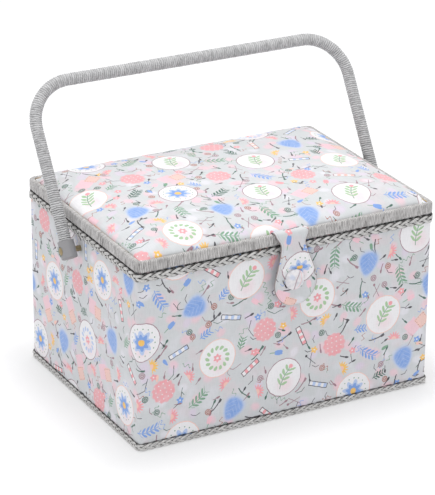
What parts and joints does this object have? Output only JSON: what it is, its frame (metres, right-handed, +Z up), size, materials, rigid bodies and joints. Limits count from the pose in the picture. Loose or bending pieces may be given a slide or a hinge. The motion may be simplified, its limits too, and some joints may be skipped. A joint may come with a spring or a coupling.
{
  "type": "sewing box",
  "caption": "Cloth-covered sewing box with a padded hinged lid, a swinging carry handle, a closing tab with a covered button and a lift-out tray.",
  "frame": {"origin": "centre of the underside, on the surface that the box stands on", "axes": "+X along the box's long side, to the right as one faces the closing tab; +Y from the tab at the front to the hinges at the back; +Z up"},
  "size_m": [0.3646, 0.2621, 0.308],
  "materials": {
    "print_fabric": null,
    "lid_fabric": "the same woven cotton print, stretched over the pad",
    "lining_fabric": "plain pale woven lining",
    "tab_fabric": "the same woven cotton print, sewn double",
    "button_cloth": "cloth-covered button",
    "base_cloth": "stiff plain cloth",
    "braid": "matt plaited cord",
    "rim_cord": "matt cord wound side by side",
    "handle_cord": "matt cord wound close",
    "board": "fibreboard",
    "rail_wood": "plain softwood",
    "foam": "foam and wadding",
    "core_plastic": "bent plastic rod",
    "ferrule_plastic": "moulded grey plastic, soft sheen",
    "tray_plastic": "moulded plastic, soft sheen",
    "rivet_brass": "domed head, lightly dulled",
    "hinge_brass": "stamped and plated",
    "steel": "plain zinc-plated"
  },
  "bodies": {
    "base": {"underside": "base_cloth", "floor_board": "board", "front_board": "board", "back_board": "board", "left_board": "board", "right_board": "board", "outer_fabric": "print_fabric", "base_lining": "lining_fabric", "foot_braid": "braid", "top_braid": "braid", "left_ledge": "rail_wood", "right_ledge": "rail_wood", "closure_plate": "steel", "base_hinge_leaves": "hinge_brass", "hinge_pins": "steel", "left_rivet": "rivet_brass", "right_rivet": "rivet_brass", "pivot_spacers": "rivet_brass", "pivot_washers": "steel"},
    "lid": {"front_rail": "rail_wood", "right_rail": "rail_wood", "back_rail": "rail_wood", "left_rail": "rail_wood", "rim_winding": "rim_cord", "lid_hinge_leaves": "hinge_brass", "lid_board": "board", "lid_lining": "lining_fabric", "lid_foam": "foam", "lid_cover": "lid_fabric", "pin_cushion": "lining_fabric", "lid_pocket": "lining_fabric", "pocket_elastic": "lining_fabric", "tab_root": "tab_fabric"},
    "tab": {"closure_tab": "tab_fabric", "covered_button": "button_cloth", "tab_magnet": "steel"},
    "handle": {"handle_core": "core_plastic", "handle_winding": "handle_cord", "left_ferrule": "ferrule_plastic", "right_ferrule": "ferrule_plastic"},
    "tray": {"sewing_tray": "tray_plastic"}
  },
  "joints": [
    {"name": "lid_hinge", "type": "hinge", "parent": "base", "child": "lid", "pos_m": [0, 0.1241, 0.18385], "axis": [-1, 0, 0], "range_deg": [0, 56]},
    {"name": "handle_pivot", "type": "hinge", "parent": "base", "child": "handle", "pos_m": [0, 0.004, 0.1632], "axis": [1, 0, 0], "range_deg": [-90, 148]},
    {"name": "tab_fold", "type": "hinge", "parent": "lid", "child": "tab", "pos_m": [0, -0.1232, 0.197], "axis": [-1, 0, 0], "range_deg": [0, 95]},
    {"name": "tray_lift", "type": "slide", "parent": "base", "child": "tray", "axis": [0, 0, 1], "range_m": [0, 0.012]}
  ]
}
